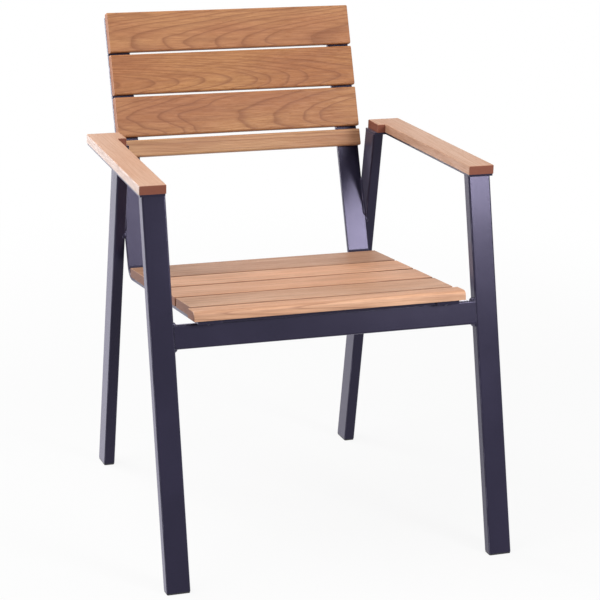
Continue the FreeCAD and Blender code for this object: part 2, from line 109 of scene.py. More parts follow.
class NodeGraph:
    """Adds nodes to one tree and wires them up, so that a finish or a form reads as a list of steps."""

    def __init__(self, tree: bpy.types.NodeTree) -> None:
        """Keep the tree and empty it."""
        self.tree = tree
        tree.nodes.clear()

    @staticmethod
    def result(made: Node) -> Socket:
        """Return a node's first output that is in use."""
        return next(output for output in made.outputs if output.enabled)

    def feed(self, socket: Socket, value: Wire) -> None:
        """Link a socket or a node's first output to an input, or set the input's own value.

        Args:
            socket: The input.
            value: What goes into it; nothing is done for None.
        """
        if value is None:
            return
        if isinstance(value, Node):
            value = self.result(value)
        if isinstance(value, Socket):
            self.tree.links.new(value, socket)
        elif socket.type == "RGBA" and len(value) == 3:
            socket.default_value = (*value, 1.0)
        else:
            socket.default_value = value

    def node(self, kind: str, *inputs: Wire, named: Inputs | None = None, **settings: object) -> Node:
        """Add a node.

        Args:
            kind: The node's type name.
            inputs: What goes into its inputs, in order, skipping those that its settings switch off.
            named: What goes into inputs by name.
            settings: The node's own properties.

        Returns:
            The node.
        """
        made = self.tree.nodes.new(kind)
        for name, value in settings.items():
            setattr(made, name, value)
        shown = [socket for socket in made.inputs if socket.enabled]
        for socket, value in zip(shown, inputs):
            self.feed(socket, value)
        for name, value in (named or {}).items():
            self.feed(next(socket for socket in shown if socket.name == name), value)
        return made

    def math(self, operation: str, *values: Wire, clamp: bool = False) -> Socket:
        """Add a Math node and return its result."""
        return self.node("ShaderNodeMath", *values, operation=operation, use_clamp=clamp).outputs[0]

    def times(self, first: Wire, second: Wire) -> Socket:
        """Multiply two numbers and return the product."""
        return self.math("MULTIPLY", first, second)

    def vector(self, operation: str, *values: Wire) -> Socket:
        """Add a Vector Math node and return its vector, or its number where it gives one."""
        return self.result(self.node("ShaderNodeVectorMath", *values, operation=operation))

    def split(self, vector: Wire) -> tuple[Socket, ...]:
        """Add a Separate XYZ node and return its three numbers."""
        return tuple(self.node("ShaderNodeSeparateXYZ", vector).outputs)

    def join(self, *parts: Wire) -> Socket:
        """Add a Combine XYZ node and return its vector."""
        return self.node("ShaderNodeCombineXYZ", *parts).outputs[0]


class SurfaceGraph(NodeGraph):
    """A material's node tree, with the steps that several finishes share."""

    # How far a normal lies along the nearest flat face: in the middle of an edge, and where the edge starts.
    EDGE_SPAN = (0.72, 0.84)

    def __init__(self, name: str) -> None:
        """Make the material and its shader and output nodes.

        Args:
            name: The material's name.
        """
        self.material = bpy.data.materials.new(name)
        self.material.use_nodes = True
        super().__init__(self.material.node_tree)
        self.shader = self.node("ShaderNodeBsdfPrincipled")
        self.output = self.node("ShaderNodeOutputMaterial", self.shader)

    def place(self) -> Socket:
        """Return the Object coordinates."""
        return self.node("ShaderNodeTexCoord").outputs["Object"]

    def normal(self) -> Socket:
        """Return the direction that the surface faces in."""
        return self.node("ShaderNodeNewGeometry").outputs["Normal"]

    def attribute(self, name: str, output: str) -> Socket:
        """Return one output of an Attribute node that reads the piece's own attribute."""
        return self.node("ShaderNodeAttribute", attribute_name=name).outputs[output]

    def noise(self, place: Wire, scale: float, detail: float = 2.0, roughness: float = 0.5) -> Socket:
        """Add a noise and return its value.

        Args:
            place: The coordinates.
            scale: Cells per metre.
            detail: Octaves.
            roughness: How strong the higher octaves are.

        Returns:
            The noise, from 0 to 1.
        """
        named = {"Vector": place, "Scale": scale, "Detail": detail, "Roughness": roughness}
        return self.node("ShaderNodeTexNoise", named=named).outputs[0]

    def stretch(self, place: Wire, scale: Triple, turn: Triple = ZERO, shift: Triple = ZERO) -> Socket:
        """Add a Mapping node and return its vector.

        Args:
            place: The coordinates.
            scale: Factor along each axis.
            turn: Rotation in radians.
            shift: Offset, after scale and turn.

        Returns:
            The mapped coordinates.
        """
        named = {"Vector": place, "Location": shift, "Rotation": turn, "Scale": scale}
        return self.node("ShaderNodeMapping", named=named).outputs[0]

    def streaks(self, place: Wire, scale: Triple, detail: float = 2.0, roughness: float = 0.5) -> Socket:
        """Add a noise with its own number of cells per metre along each axis and return its value."""
        return self.noise(self.stretch(place, scale), 1.0, detail, roughness)

    def between(self, value: Wire, span: Pair, results: Pair = (0.0, 1.0)) -> Socket:
        """Map a value smoothly from one range to another.

        Args:
            value: The value.
            span: Start and end of its range.
            results: What the start and the end become.

        Returns:
            The mapped value, kept inside the new range.
        """
        steps = (value, *span, *results)
        return self.node("ShaderNodeMapRange", *steps, interpolation_type="SMOOTHSTEP").outputs[0]

    def ramp(self, value: Wire, stops: Sequence[Pair]) -> Socket:
        """Run a value through a curve of straight steps.

        Args:
            value: The value, from 0 to 1.
            stops: Place and result of each step.

        Returns:
            The result.
        """
        made = self.node("ShaderNodeValToRGB", value)
        elements = made.color_ramp.elements
        while len(elements) < len(stops):
            elements.new(1.0)
        for element, (at, result) in zip(elements, stops):
            element.position = at
            element.color = (result, result, result, 1.0)
        return made.outputs[0]

    def blend(self, share: Wire, first: Wire, second: Wire, blend_type: str = "MIX") -> Socket:
        """Mix two colours and return the result."""
        named = {"Factor": share, "A": first, "B": second}
        settings = {"data_type": "RGBA", "blend_type": blend_type, "clamp_factor": True}
        return self.result(self.node("ShaderNodeMix", named=named, **settings))

    def edges(self, flats: Sequence[Triple]) -> Socket:
        """Find rounded edges, where the surface turns away from all its flat faces.

        Args:
            flats: The directions of the flat faces.

        Returns:
            0 on the flat faces, and 1 along the middle of the edges.
        """
        normal = self.normal()
        nearest = None
        for flat in flats:
            turned = self.math("ABSOLUTE", self.vector("DOT_PRODUCT", normal, flat))
            nearest = turned if nearest is None else self.math("MAXIMUM", nearest, turned)
        return self.between(nearest, self.EDGE_SPAN, (1.0, 0.0))

    def bump(self, height: Wire, strength: float, distance: float, under: Wire = None) -> Socket:
        """Add a Bump node and return its normal.

        Args:
            height: The height, from 0 to 1.
            strength: Share of the bump that is used.
            distance: Height of the bump in metres.
            under: A normal that it adds to.

        Returns:
            The bumped normal.
        """
        named = {"Strength": strength, "Distance": distance, "Height": height, "Normal": under}
        return self.node("ShaderNodeBump", named=named).outputs[0]

    def finish(self, **inputs: Wire) -> bpy.types.Material:
        """Feed the shader.

        Args:
            inputs: What goes into each of its inputs, named with _ for a space.

        Returns:
            The material.
        """
        for name, value in inputs.items():
            self.feed(self.shader.inputs[name.replace("_", " ")], value)
        return self.material


@dataclass(frozen=True)
class WoodFigure:
    """The parts of a wood's figure, each from 0 to 1."""

    ring: Socket
    band: Socket
    streak: Socket
    pores: Socket
    cloud: Socket


@dataclass(frozen=True)
class OiledWood:
    """Oiled hardwood: growth rings round a heart line, fibre streaks and pores along it, dark end grain.

    A scale is in cells per metre, along the grain and across it. A span is the part of a pattern's range that
    is used, and a share is how strong the result is.
    """

    name: str
    pale: Colour
    warm: Colour
    dark: Colour
    end: Colour
    ring_share: float
    band_share: float
    streak_share: float = 0.34
    pore_share: float = 0.3
    warp: float = 0.007
    source: GrainSource = GrainSource.BOARD
    # painted shade: a darker, cooler multiply for the armrests' outward-looking faces
    painted_outer_shade: Colour = (0.6, 0.62, 0.7)
    heart_shift: Triple = (0.31, 0.02, -0.57)
    # painted shade: inboard of this span, the inner end of an armrest's tab takes the dark end colour
    tab_shade_span: Pair = (0.2345, 0.236)
    ring_width: float = 0.0034
    ring_profile: Sequence[Pair] = ((0.0, 0.6), (0.07, 0.1), (0.55, 0.0), (0.8, 0.3), (0.95, 1.0))
    uneven_scale: float = 95.0
    uneven_rings: float = 2.4
    drift_scale: Triple = (5.0, 21.0, 21.0)
    drift_detail: float = 2.5
    cloud_scale: Triple = (3.5, 17.0, 17.0)
    cloud_span: Pair = (0.3, 0.7)
    fibre_scale: Triple = (11.0, 640.0, 640.0)
    streak_span: Pair = (0.3, 0.72)
    band_scale: Triple = (4.0, 170.0, 170.0)
    band_span: Pair = (0.42, 0.68)
    pore_scale: Triple = (42.0, 1500.0, 1500.0)
    pore_span: Pair = (0.57, 0.7)
    end_span: Pair = (0.5, 0.9)
    end_share: float = 0.95
    # painted shade: the slats' long front and rear faces, facing the gaps between slats, are blended towards
    # the dark end colour
    gap_shade_span: Pair = (0.8, 1.0)
    gap_shade_share: float = 0.6
    outer_span: Pair = (0.5, 0.95)
    rub_span: Pair = (0.4, 0.65)
    rub_share: float = 0.25
    roughness: Pair = (0.46, 0.68)
    roughness_span: Pair = (0.0, 1.6)
    end_roughness: float = 0.3
    ring_relief: float = 0.4
    relief_share: float = 0.35
    relief_depth: float = 0.00025

    def grain(self, graph: SurfaceGraph) -> Socket:
        """Find the grain coordinates.

        Args:
            graph: The material's nodes.

        Returns:
            Coordinates with x along the heart line.
        """
        if self.source is GrainSource.BOARD:
            return graph.attribute("grain", "Vector")
        quarter = (0.0, 0.0, math.radians(-90.0))
        return graph.stretch(graph.place(), (1, 1, 1), turn=quarter, shift=self.heart_shift)

    def ends(self, graph: SurfaceGraph) -> Socket:
        """Find end grain at a board's ends, or at an armrest's front and rear; the inner end of an armrest's
        tab takes the same dark colour as painted shade.

        Args:
            graph: The material's nodes.

        Returns:
            How far a face takes the dark end colour, as end grain or as painted shade on the tab, from 0 to
            1.
        """
        if self.source is GrainSource.BOARD:
            return graph.attribute("end", "Fac")
        facing = graph.split(graph.normal())[1]
        beside = graph.math("ABSOLUTE", graph.split(graph.place())[0])
        # painted shade on the tab's inner end, joined to the real end grain
        tab = graph.between(beside, self.tab_shade_span, (1.0, 0.0))
        return graph.math("MAXIMUM", graph.math("ABSOLUTE", facing), tab)

    def outer(self, graph: SurfaceGraph) -> Socket:
        """Find faces that look outward, away from the chair's middle plane, where the armrests get painted
        shade.

        Args:
            graph: The material's nodes.

        Returns:
            How far a face looks outward, from 0 to 1.
        """
        facing = graph.split(graph.normal())[0]
        side = graph.math("SIGN", graph.split(graph.place())[0])
        return graph.between(graph.times(facing, side), self.outer_span)

    def bend(self, graph: SurfaceGraph, grain: Socket) -> Socket:
        """Let the heart line wander.

        Args:
            graph: The material's nodes.
            grain: The grain coordinates.

        Returns:
            The bent coordinates.
        """
        named = {"Vector": graph.stretch(grain, self.drift_scale), "Scale": 1.0, "Detail": self.drift_detail}
        drift = graph.node("ShaderNodeTexNoise", named=named).outputs["Color"]
        shift = graph.vector("SUBTRACT", drift, (0.5, 0.5, 0.5))
        return graph.vector("ADD", grain, graph.vector("MULTIPLY", shift, (0.0, self.warp, self.warp)))

    def rings(self, graph: SurfaceGraph, bent: Socket) -> Socket:
        """Draw growth rings of uneven width round the heart line.

        Args:
            graph: The material's nodes.
            bent: The bent grain coordinates.

        Returns:
            1 where a ring is darkest.
        """
        _, across, deep = graph.split(bent)
        reach = graph.vector("LENGTH", graph.join(0.0, across, deep))
        named = {"W": reach, "Scale": self.uneven_scale, "Detail": 1.0}
        uneven = graph.node("ShaderNodeTexNoise", named=named, noise_dimensions="1D").outputs[0]
        even = graph.math("DIVIDE", reach, self.ring_width)
        phase = graph.math("MULTIPLY_ADD", uneven, self.uneven_rings, even)
        return graph.ramp(graph.math("FRACT", phase), self.ring_profile)

    def figure(self, graph: SurfaceGraph) -> WoodFigure:
        """Lay out the figure along the grain.

        Args:
            graph: The material's nodes.

        Returns:
            The figure's parts.
        """
        grain = self.grain(graph)
        bent = self.bend(graph, grain)
        return WoodFigure(
            ring=self.rings(graph, bent),
            band=graph.between(graph.streaks(bent, self.band_scale, 3.0, 0.6), self.band_span),
            streak=graph.between(graph.streaks(bent, self.fibre_scale, 3.0, 0.6), self.streak_span),
            pores=graph.between(graph.streaks(bent, self.pore_scale), self.pore_span),
            cloud=graph.streaks(grain, self.cloud_scale),
        )

    def material(self) -> bpy.types.Material:
        """Build the finish.

        Returns:
            The material.
        """
        graph = SurfaceGraph(self.name)
        figure = self.figure(graph)
        colour = graph.blend(graph.between(figure.cloud, self.cloud_span), self.pale, self.warm)
        darker = (
            (figure.ring, self.ring_share),
            (figure.band, self.band_share),
            (figure.streak, self.streak_share),
            (figure.pores, self.pore_share),
        )
        for part, share in darker:
            colour = graph.blend(graph.times(part, share), colour, self.dark)
        # end grain, and painted shade on the armrest tab's inner end
        end = graph.between(self.ends(graph), self.end_span, (0.0, self.end_share))
        colour = graph.blend(end, colour, self.end)
        if self.source is GrainSource.BOARD:
            # painted shade in the gaps: long front and rear faces are blended towards the dark end colour
            side = graph.between(graph.attribute("side", "Fac"), self.gap_shade_span, (0.0, self.gap_shade_share))
            colour = graph.blend(side, colour, self.end)
            colour = graph.blend(1.0, colour, graph.attribute("tone", "Vector"), "MULTIPLY")
            edge = graph.attribute("edge", "Fac")
        else:
            edge = graph.edges(((1, 0, 0), (0, 1, 0), (0, 0, 1)))
            # painted shade: the armrests' outward-looking faces are multiplied darker and cooler
            colour = graph.blend(self.outer(graph), colour, self.painted_outer_shade, "MULTIPLY")
        rubbed = graph.times(edge, graph.between(figure.cloud, self.rub_span, (0.0, self.rub_share)))
        open_grain = graph.math("ADD", figure.streak, figure.pores)
        roughness = graph.between(open_grain, self.roughness_span, self.roughness)
        raised = graph.math("MULTIPLY_ADD", figure.ring, self.ring_relief, figure.streak)
        relief = graph.math("SUBTRACT", raised, figure.pores)
        return graph.finish(
            Base_Color=graph.blend(rubbed, colour, self.pale),
            Roughness=graph.math("MULTIPLY_ADD", end, self.end_roughness, roughness),
            Normal=graph.bump(relief, self.relief_share, self.relief_depth),
            Specular_IOR_Level=0.35,
        )


@dataclass(frozen=True)
class PowderCoat:
    """Fine-textured powder coat on metal: orange peel, a faint fleck, dust on top and rubbed edges."""

    name: str = "powder_coat"
    colour: Colour = srgb(26, 24, 40)
    fleck: Colour = srgb(42, 39, 60)
    dust: Colour = srgb(150, 146, 160)
    rubbed: Colour = srgb(128, 124, 146)
    leans: Sequence[float] = (0.0, FRONT_LEG_LEAN, REAR_LEG_LEAN, SEAT_TILT, 90.0 - BACK_TILT)
    peel_scale: float = 620.0
    grit_scale: float = 2600.0
    grit_span: Pair = (0.45, 0.75)
    grit_share: float = 0.55
    patch_scale: float = 7.0
    patch_span: Pair = (0.35, 0.75)
    patch_share: float = 0.3
    dust_span: Pair = (0.6, 1.0)
    dust_share: float = 0.1
    wear_scale: Triple = (38.0, 38.0, 14.0)
    wear_span: Pair = (0.42, 0.68)
    wear_shares: Pair = (0.05, 0.7)
    roughness: Pair = (0.18, 0.26)
    roughness_span: Pair = (0.6, 1.4)

    def flats(self) -> list[Triple]:
        """List the directions of the frame's flat faces.

        Returns:
            The direction to the side, and those across and along each lean.
        """
        found = [(1.0, 0.0, 0.0)]
        for lean in self.leans:
            sine, cosine = math.sin(math.radians(lean)), math.cos(math.radians(lean))
            found.extend([(0.0, -cosine, sine), (0.0, sine, cosine)])
        return found

    def material(self) -> bpy.types.Material:
        """Build the finish.

        Returns:
            The material.
        """
        graph = SurfaceGraph(self.name)
        place = graph.place()
        peel = graph.noise(place, self.peel_scale)
        grit = graph.noise(place, self.grit_scale, 1.0)
        patch = graph.noise(place, self.patch_scale, 3.0)
        flecks = graph.between(grit, self.grit_span, (0.0, self.grit_share))
        colour = graph.blend(flecks, self.colour, self.fleck)
        patches = graph.between(patch, self.patch_span, (0.0, self.patch_share))
        colour = graph.blend(patches, colour, self.fleck)
        upward = graph.split(graph.normal())[2]
        settled = graph.times(graph.between(upward, self.dust_span, (0.0, self.dust_share)), patch)
        colour = graph.blend(settled, colour, self.dust)
        wear = graph.streaks(place, self.wear_scale, 4.0, 0.65)
        worn = graph.times(graph.edges(self.flats()), graph.between(wear, self.wear_span, self.wear_shares))
        return graph.finish(
            Base_Color=graph.blend(worn, colour, self.rubbed),
            Roughness=graph.between(graph.math("ADD", patch, peel), self.roughness_span, self.roughness),
            Normal=graph.bump(grit, 0.15, 0.00006, graph.bump(peel, 0.2, 0.0001)),
            Specular_IOR_Level=0.3,
            Specular_Tint=srgb(222, 214, 255),
            Sheen_Weight=0.45,
            Sheen_Roughness=0.4,
            Sheen_Tint=srgb(222, 216, 250),
        )


@dataclass(frozen=True)
class MouldedPlastic:
    """Black moulded plastic with a spark-eroded skin and scuffs near the floor."""

    name: str = "moulded_plastic"
    colour: Colour = srgb(34, 34, 38)
    scuff: Colour = srgb(88, 86, 88)
    skin_scale: float = 1500.0
    skin_span: Pair = (0.3, 0.7)
    roughness: Pair = (0.5, 0.68)
    scuff_scale: Triple = (260.0, 260.0, 900.0)
    scuff_span: Pair = (0.5, 0.7)
    scuff_share: float = 0.7
    scuff_height: float = 0.002

    def material(self) -> bpy.types.Material:
        """Build the finish.

        Returns:
            The material.
        """
        graph = SurfaceGraph(self.name)
        place = graph.place()
        skin = graph.noise(place, self.skin_scale)
        wear = graph.streaks(place, self.scuff_scale, 3.0)
        low = graph.between(graph.split(place)[2], (0.0, self.scuff_height), (1.0, 0.0))
        share = graph.times(low, graph.between(wear, self.scuff_span, (0.0, self.scuff_share)))
        return graph.finish(
            Base_Color=graph.blend(share, self.colour, self.scuff),
            Roughness=graph.between(skin, self.skin_span, self.roughness),
            Normal=graph.bump(skin, 0.4, 0.0001),
        )


@dataclass(frozen=True)
class PlatedSteel:
    """Zinc-plated steel with fine turning marks and dull patches."""

    name: str = "plated_steel"
    colour: Colour = srgb(186, 188, 190)
    dull: Colour = srgb(140, 142, 140)
    patch_scale: float = 420.0
    patch_span: Pair = (0.4, 0.7)
    dull_share: float = 0.8
    mark_scale: Triple = (900.0, 5200.0, 5200.0)
    roughness: Pair = (0.26, 0.5)
    roughness_span: Pair = (0.6, 1.4)

    def material(self) -> bpy.types.Material:
        """Build the finish.

        Returns:
            The material.
        """
        graph = SurfaceGraph(self.name)
        place = graph.place()
        patch = graph.noise(place, self.patch_scale, 3.0)
        marks = graph.streaks(place, self.mark_scale)
        dulled = graph.between(patch, self.patch_span, (0.0, self.dull_share))
        return graph.finish(
            Base_Color=graph.blend(dulled, self.colour, self.dull),
            Roughness=graph.between(graph.math("ADD", patch, marks), self.roughness_span, self.roughness),
            Normal=graph.bump(marks, 0.25, 0.00004),
            Metallic=1.0,
        )


class FormGraph(NodeGraph):
    """A Geometry Nodes tree with named inputs, whose result is taken as a plain mesh."""

    def __init__(self, name: str, sizes: Sequence[str], vectors: Sequence[str] = ()) -> None:
        """Make the tree and its inputs.

        Args:
            name: The tree's name.
            sizes: The names of its number inputs.
            vectors: The names of its vector inputs.
        """
        tree = bpy.data.node_groups.new(name, "GeometryNodeTree")
        super().__init__(tree)
        kinds = {"Geometry": "NodeSocketGeometry"}
        kinds |= {label: "NodeSocketFloat" for label in sizes}
        kinds |= {label: "NodeSocketVector" for label in vectors}
        kinds["Finish"] = "NodeSocketMaterial"
        for label, kind in kinds.items():
            tree.interface.new_socket(label, in_out="INPUT", socket_type=kind)
        tree.interface.new_socket("Geometry", in_out="OUTPUT", socket_type="NodeSocketGeometry")
        self.given = self.node("NodeGroupInput").outputs

    def store(self, geometry: Wire, name: str, value: Wire, data_type: str = "FLOAT") -> Node:
        """Keep a value on the points under a name and return the node."""
        named = {"Geometry": geometry, "Name": name, "Value": value}
        return self.node("GeometryNodeStoreNamedAttribute", named=named, data_type=data_type, domain="POINT")

    def move(self, geometry: Wire, place: Wire) -> Node:
        """Put the points of a shape in their places and return the node."""
        return self.node("GeometryNodeSetPosition", named={"Geometry": geometry, "Position": place})

    def close(self, geometry: Wire) -> None:
        """End the tree: smooth faces, instances made real, finish set.

        Args:
            geometry: The shape.
        """
        smooth = self.node("GeometryNodeSetShadeSmooth", named={"Geometry": geometry, "Shade Smooth": True})
        real = self.node("GeometryNodeRealizeInstances", smooth)
        named = {"Geometry": real, "Material": self.given["Finish"]}
        self.node("NodeGroupOutput", self.node("GeometryNodeSetMaterial", named=named))

    def grow(self, name: str, values: Inputs, seed: bpy.types.Mesh | None = None) -> Piece:
        """Run the tree on an object of its own and keep the result as a plain mesh.

        Args:
            name: The object's name.
            values: The tree's inputs.
            seed: The mesh that the tree starts from, if it needs one.

        Returns:
            The object, at the origin, without the modifier.
        """
        piece = add_object(name, seed or bpy.data.meshes.new(name))
        modifier = piece.modifiers.new("form", "NODES")
        modifier.node_group = self.tree
        items = self.tree.interface.items_tree
        keys = {item.name: item.identifier for item in items if item.in_out == "INPUT"}
        for label, value in values.items():
            modifier[keys[label]] = value
        depsgraph = bpy.context.evaluated_depsgraph_get()
        grown = piece.evaluated_get(depsgraph)
        mesh = bpy.data.meshes.new_from_object(grown, preserve_all_data_layers=True, depsgraph=depsgraph)
        piece.modifiers.remove(modifier)
        piece.data = mesh
        mesh.name = name
        return piece


class EasedBoard(FormGraph):
    """A board with rounded edges, which remembers where it lay in its tree."""

    STEPS = 8
    ROUND_NOSE = 0.004
    EDGE_GAIN = 3.4

    def __init__(self) -> None:
        """Build the tree: a finely divided cube whose outer cells are pulled round the edges."""
        lengths = ("Length", "Width", "Thickness")
        sizes = (*lengths, "Edge Radius", "Nose Radius", "End Radius")
        super().__init__("eased_board", sizes, ("Heart Offset", "Heart Turn", "Tone"))
        cube = self.node("GeometryNodeMeshCube", (2, 2, 2), self.STEPS, self.STEPS, self.STEPS)
        here = self.node("GeometryNodeInputPosition")
        parts = self.split(here)
        signs = [self.math("SIGN", part) for part in parts]
        shares = [self.past_core(part) for part in parts]
        radii = self.radii(parts, shares[1])
        spread = self.join(*radii)
        outward = self.vector("NORMALIZE", self.join(*map(self.times, signs, shares)))
        core = []
        for label, sign, radius in zip(lengths, signs, radii):
            half = self.times(self.given[label], 0.5)
            core.append(self.times(sign, self.math("SUBTRACT", half, radius)))
        place = self.vector("ADD", self.join(*core), self.vector("MULTIPLY", outward, spread))
        board = self.move(self.mark_faces(cube, outward, spread), place)
        named = {"Vector": here, "Rotation": self.given["Heart Turn"]}
        turned = self.node("ShaderNodeVectorRotate", named=named, rotation_type="EULER_XYZ")
        grain = self.vector("ADD", turned, self.given["Heart Offset"])
        board = self.store(board, "grain", grain, "FLOAT_VECTOR")
        self.close(self.store(board, "tone", self.given["Tone"], "FLOAT_VECTOR"))

    def past_core(self, part: Socket) -> Socket:
        """Work out how far into the cube's outer cells a point lies.

        Args:
            part: The point's place along one axis, from -1 to 1.

        Returns:
            0 at the inner side of the outer cells, and 1 on the cube's face.
        """
        inner = 1.0 / (self.STEPS - 1)
        past = self.math("SUBTRACT", self.math("ABSOLUTE", part), inner)
        return self.math("DIVIDE", past, 1.0 - inner, clamp=True)

    def radii(self, parts: Sequence[Socket], wide_share: Socket) -> tuple[Socket, Socket, Socket]:
        """Choose the edges' radius along each axis; the upper front edge has its own, the nose.

        Args:
            parts: The point's place along each axis.
            wide_share: How far into the outer cells it lies across the board.

        Returns:
            The radius along the board, across it and through it.
        """
        edge = self.given["Edge Radius"]
        front = self.math("LESS_THAN", parts[1], 0.0)
        at_nose = self.times(front, self.math("GREATER_THAN", parts[2], 0.0))
        extra = self.math("SUBTRACT", self.given["Nose Radius"], edge)
        across = self.math("MULTIPLY_ADD", at_nose, extra, edge)
        in_bend = self.times(at_nose, self.math("GREATER_THAN", wide_share, 0.0))
        return self.given["End Radius"], across, self.math("MULTIPLY_ADD", in_bend, extra, edge)

    def mark_faces(self, board: Wire, outward: Socket, spread: Socket) -> Node:
        """Keep on the points what the finish needs to know of each face, and the smooth normal.

        Args:
            board: The cube.
            outward: The direction out of the cube's core.
            spread: The edges' radius along each axis.

        Returns:
            The marked cube.
        """
        parts = [self.math("ABSOLUTE", part) for part in self.split(outward)]
        flat = self.math("MAXIMUM", parts[0], self.math("MAXIMUM", parts[1], parts[2]))
        edge = self.math("MULTIPLY", self.math("SUBTRACT", 1.0, flat), self.EDGE_GAIN, clamp=True)
        sharp = self.math("LESS_THAN", self.given["Nose Radius"], self.ROUND_NOSE)
        facing = self.vector("NORMALIZE", self.vector("DIVIDE", outward, spread))
        board = self.store(board, "edge", edge)
        board = self.store(board, "end", parts[0])
        # side: mask for painted shade on the long front and rear faces, left off where a board has a rounded
        # nose
        board = self.store(board, "side", self.times(parts[1], sharp))
        return self.store(board, "facing", facing, "FLOAT_VECTOR")

    def lay(self, name: str, values: Inputs, place: Matrix) -> Piece:
        """Grow one board and put its mesh in place.

        Args:
            name: The object's name.
            values: The tree's inputs.
            place: Where the board's middle goes, and how it lies.

        Returns:
            The object.
        """
        piece = self.grow(name, values)
        mesh = piece.data
        turn = place.to_3x3()
        normals = [turn @ Vector(item.vector) for item in mesh.attributes["facing"].data]
        mesh.attributes.remove(mesh.attributes["facing"])
        mesh.transform(place)
        mesh.normals_split_custom_set_from_vertices(normals)
        return piece


class SocketScrews(FormGraph):
    """Round-headed screws with a hexagon socket, one on each seed point along its axis."""

    SEED = 11
    HEAD_SIDES = 24
    HEAD_STEPS = 6
    SOCKET_SIDES = 6
    SHANK_SIDES = 16
    DOME_POWER = 2.6
    DOME_SHARE = 0.7

    def __init__(self) -> None:
        """Build the tree: a head and a shank, and a copy of both on every point."""
        head = ("Head Radius", "Head Height", "Socket Radius", "Socket Depth")
        super().__init__("socket_screws", (*head, "Shank Radius", "Shank Length"))
        length = self.given["Shank Length"]
        shank = self.rod(self.SHANK_SIDES, self.given["Shank Radius"], length)
        screw = self.node("GeometryNodeJoinGeometry")
        self.feed(screw.inputs[0], self.head())
        self.feed(screw.inputs[0], self.lift(shank, self.times(length, 0.5)))
        named = {"Points": self.given["Geometry"], "Instance": screw, "Rotation": self.turn()}
        self.close(self.node("GeometryNodeInstanceOnPoints", named=named))

    def rod(self, sides: int, radius: Wire, depth: Wire, steps: int = 1) -> Node:
        """Add a cylinder along z with its middle at the origin and return the node."""
        named = {"Vertices": sides, "Side Segments": steps, "Radius": radius, "Depth": depth}
        return self.node("GeometryNodeMeshCylinder", named=named)

    def lift(self, geometry: Wire, height: Wire) -> Node:
        """Move a shape along z and return the node."""
        named = {"Geometry": geometry, "Translation": self.join(0.0, 0.0, height)}
        return self.node("GeometryNodeTransform", named=named)

    def head(self) -> Node:
        """Make the head: a cylinder drawn in to a dome, with the socket cut out of it.

        Returns:
            The head, below the origin.
        """
        height = self.given["Head Height"]
        blank = self.rod(self.HEAD_SIDES, self.given["Head Radius"], height, self.HEAD_STEPS)
        x, y, z = self.split(self.node("GeometryNodeInputPosition"))
        rise = self.math("SUBTRACT", 0.5, self.math("DIVIDE", z, height))
        drawn_in = self.times(self.math("POWER", rise, self.DOME_POWER), self.DOME_SHARE)
        slim = self.math("SQRT", self.math("SUBTRACT", 1.0, drawn_in))
        lower = self.math("SUBTRACT", z, self.times(height, 0.5))
        dome = self.move(blank, self.join(self.times(x, slim), self.times(y, slim), lower))
        depth = self.times(self.given["Socket Depth"], 2.0)
        drill = self.rod(self.SOCKET_SIDES, self.given["Socket Radius"], depth)
        drill = self.lift(drill, self.times(height, -1.0))
        named = {"Mesh 1": dome, "Mesh 2": drill}
        return self.node("GeometryNodeMeshBoolean", named=named, operation="DIFFERENCE")

    def turn(self) -> Node:
        """Work out how each screw is turned.

        Returns:
            The rotation along its point's axis, with the socket at a chance angle.
        """
        axis = self.node("GeometryNodeInputNamedAttribute", "axis", data_type="FLOAT_VECTOR")
        aim = self.node("FunctionNodeAlignRotationToVector", named={"Vector": axis}, axis="Z")
        chance = {"Min": 0.0, "Max": math.tau, "Seed": self.SEED}
        spin = self.node("FunctionNodeRandomValue", named=chance, data_type="FLOAT")
        twist = self.node("FunctionNodeAxisAngleToRotation", named={"Axis": (0, 0, 1), "Angle": spin})
        return self.node("FunctionNodeRotateRotation", aim, twist, rotation_space="LOCAL")


class WeldSeam(FormGraph):
    """A coated weld: a rounded bead with soft ripples along each seed line."""

    STEPS = 60
    SIDES = 20
    END_POWER = 14.0
    LEAST_TAPER = 0.05

    def __init__(self) -> None:
        """Build the tree: a circle swept along each line, which swells and sinks, closing at the ends."""
        super().__init__("weld_seam", ("Bead Radius", "Ripple Pitch", "Ripple Depth"))
        line = self.node("GeometryNodeMeshToCurve", self.given["Geometry"])
        line = self.node("GeometryNodeResampleCurve", named={"Curve": line, "Count": self.STEPS})
        spot = self.node("GeometryNodeSplineParameter").outputs
        ripples = self.math("DIVIDE", spot["Length"], self.given["Ripple Pitch"])
        wave = self.math("SINE", self.times(ripples, math.tau))
        swell = self.math("MULTIPLY_ADD", wave, self.given["Ripple Depth"], 1.0)
        off_middle = self.math("ABSOLUTE", self.math("MULTIPLY_ADD", spot["Factor"], 2.0, -1.0))
        taper = self.math("SQRT", self.math("SUBTRACT", 1.0, self.math("POWER", off_middle, self.END_POWER)))
        share = self.times(swell, self.math("MAXIMUM", taper, self.LEAST_TAPER))
        radius = self.times(share, self.given["Bead Radius"])
        circle = {"Resolution": self.SIDES, "Radius": 1.0}
        rim = self.node("GeometryNodeCurvePrimitiveCircle", named=circle, mode="RADIUS")
        named = {"Curve": line, "Profile Curve": rim, "Scale": radius, "Fill Caps": True}
        self.close(self.node("GeometryNodeCurveToMesh", named=named))


def settle(piece: Piece, slot: str, *nodes: str) -> Piece:
    """Make a piece stand for its CAD nodes: hide them and attach the piece to their body.

    Args:
        piece: The finished piece.
        slot: Not used.
        nodes: The CAD nodes that it stands for.

    Returns:
        The piece.
    """
    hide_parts(*nodes)
    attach(piece, BODY)
    return piece


def dressed(node: str, material: bpy.types.Material) -> Piece:
    """Put a finish in a CAD node's slots.

    Args:
        node: The CAD node.
        material: Its finish.

    Returns:
        The node's object.
    """
    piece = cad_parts[node]
    for slot in piece.material_slots:
        slot.material = material
    return piece


def middle(verts: set[bmesh.types.BMVert]) -> Triple:
    """Return the mean place of some points, rounded so that solids sort the same way in each run."""
    return tuple(round(sum(vert.co[axis] for vert in verts) / len(verts), 5) for axis in range(3))


